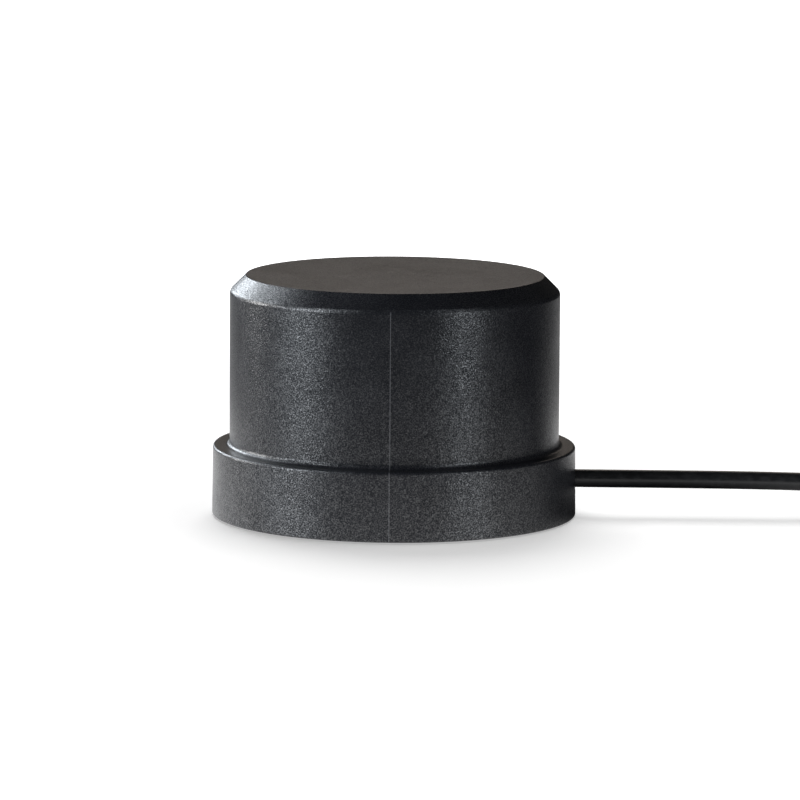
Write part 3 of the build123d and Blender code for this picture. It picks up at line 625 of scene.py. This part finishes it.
def floor_paint(material):
    """White as seen, but black to reflections, so that the table's lamps don't light the object."""
    nodes = material.node_tree.nodes
    paint = nodes.new("ShaderNodeMix")
    paint.data_type = "RGBA"
    material.node_tree.links.new(only_for_camera(nodes), paint.inputs["Factor"])
    paint.inputs[6].default_value = (0, 0, 0, 1)
    paint.inputs[7].default_value = (floor_albedo, floor_albedo, floor_albedo, 1)
    return paint.outputs[2]


def add_floor():
    """A wide white table that glows, so that it's seen blown out."""
    mesh = bmesh.new()
    bmesh.ops.create_grid(mesh, x_segments=1, y_segments=1, size=floor_side / 2)
    data = bpy.data.meshes.new("floor")
    mesh.to_mesh(data)
    mesh.free()
    floor = bpy.data.objects.new("floor", data)
    floor.location.z = -floor_drop
    bpy.context.scene.collection.objects.link(floor)
    material = bpy.data.materials.new("floor")
    material.use_nodes = True
    shader = material.node_tree.nodes["Principled BSDF"]
    shader.inputs["Roughness"].default_value = 1.0
    shader.inputs["Specular IOR Level"].default_value = 0.0
    shader.inputs["Emission Color"].default_value = (1, 1, 1, 1)
    links = material.node_tree.links
    links.new(floor_glow(material), shader.inputs["Emission Strength"])
    links.new(floor_paint(material), shader.inputs["Base Color"])
    data.materials.append(material)
    return floor


def light_group(name, floor, link_state):
    """A light-linking collection that lets a lamp light only the floor, or all but the floor."""
    group = bpy.data.collections.new(name)
    group.objects.link(floor)
    group.collection_objects[0].light_linking.link_state = link_state
    return group


room_grey = (0.02, 0.019, 0.018)
room_white = 1.05  # what the camera sees behind the object
warm = (1.0, 0.89, 0.8)
cool = (0.88, 0.94, 1.0)
white = (1.0, 1.0, 1.0)
object_lamp_distance = 1.0
floor_lamp_distance = 1.2


def add_world():
    """White behind the object, and a dim warm grey room for it to reflect."""
    world = bpy.data.worlds.new("room")
    world.use_nodes = True
    bpy.context.scene.world = world
    nodes = world.node_tree.nodes
    mix = nodes.new("ShaderNodeMix")
    mix.data_type = "RGBA"
    mix.inputs[6].default_value = (*room_grey, 1)
    mix.inputs[7].default_value = (room_white, room_white, room_white, 1)
    links = world.node_tree.links
    links.new(only_for_camera(nodes), mix.inputs["Factor"])
    links.new(mix.outputs[2], nodes["Background"].inputs["Color"])


def add_softbox(name, azimuth, elevation, width, height, power, colour, distance, group):
    """A rectangular lamp that faces the puck from this side; angles in degrees, power in watts."""
    back = direction(math.radians(azimuth), math.radians(elevation))
    data = bpy.data.lights.new(name, "AREA")
    data.shape = "RECTANGLE"
    data.size = width
    data.size_y = height
    data.energy = power
    data.color = colour
    lamp = bpy.data.objects.new(name, data)
    lamp.rotation_mode = "QUATERNION"
    lamp.rotation_quaternion = back.to_track_quat("Z", "Y")
    lamp.location = UP * aim_height + back * distance
    lamp.visible_camera = False
    lamp.light_linking.receiver_collection = group
    bpy.context.scene.collection.objects.link(lamp)


def add_lights(floor):
    """Softboxes for the object alone, and others that lay its soft shadows on the table."""
    on_object = light_group("lit_object", floor, "EXCLUDE")
    on_floor = light_group("lit_floor", floor, "INCLUDE")
    # name: azimuth, elevation, width, height, power, colour
    object_lamps = {
        "left": (-66, 9, 0.45, 0.28, 7.6, cool),
        "left_side": (-110, 9, 0.3, 0.28, 4.5, white),
        "back_left": (-146, 15, 0.3, 0.26, 3.4, cool),
        "high_left": (-120, 32, 0.5, 0.4, 3.5, cool),
        "left_edges": (-55, 36, 0.22, 0.25, 2.4, cool),
        "right_edges": (47, 36, 0.12, 0.25, 0.8, cool),
        "high_back": (-180, 32, 0.5, 0.4, 0.9, warm),
        "right_strip": (50, 6, 0.1, 0.2, 2.4, cool),
    }
    floor_lamps = {
        "back_shadow": (-168, 53, 0.8, 0.9, 13.5, white),
        "left_shadow": (-90, 35, 0.6, 0.5, 1.4, white),
        "right_shadow": (90, 62, 0.8, 0.8, 4.2, white),
    }
    for name, lamp in object_lamps.items():
        add_softbox(name, *lamp, object_lamp_distance, on_object)
    for name, lamp in floor_lamps.items():
        add_softbox(name, *lamp, floor_lamp_distance, on_floor)


# ------------------------------------------------------------------ the scene

add_camera()

cord = add_cord()
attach(cord, "receiver")
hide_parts("cord_lead", "cord_coil", "cord_tail")

strap = add_strap()
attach(strap, "receiver")
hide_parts("coil_tie")

materials = make_materials()
for subpart in frame["record"]["subparts"]:
    dress(frame["nodes"][subpart["node"]], materials[subpart["material_slot"]])
dress(cord, materials["cable_sheath"])
dress(strap, materials["tie_fabric"])

add_world()
add_lights(add_floor())
bpy.context.scene.view_settings.view_transform = "Standard"
